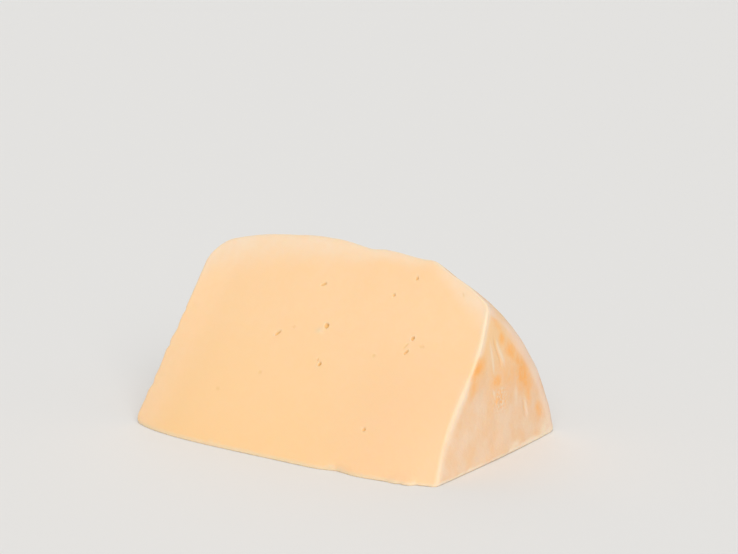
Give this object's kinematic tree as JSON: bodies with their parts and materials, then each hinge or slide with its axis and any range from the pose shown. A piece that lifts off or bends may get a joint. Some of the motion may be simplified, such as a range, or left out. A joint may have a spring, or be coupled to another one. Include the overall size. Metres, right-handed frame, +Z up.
{
  "type": "sardo cheese wedge",
  "caption": "Wedge of pale semi-hard cheese lying on a cut face, with a leaning cut face pitted by small eyes, flat rind at both ends and a bulging rind behind.",
  "frame": {"origin": "middle of the footprint's box on the table", "axes": "+X along the axis of the wheel the wedge was cut from, +Y back from the thin front edge towards the bulging rind, +Z up"},
  "size_m": [0.115, 0.0904, 0.0589],
  "materials": {
    "cheese": "pale cream-yellow semi-hard paste, waxy satin, with a beige natural rind"
  },
  "bodies": {
    "root": {"cheese_wedge": "cheese"}
  },
  "joints": []
}
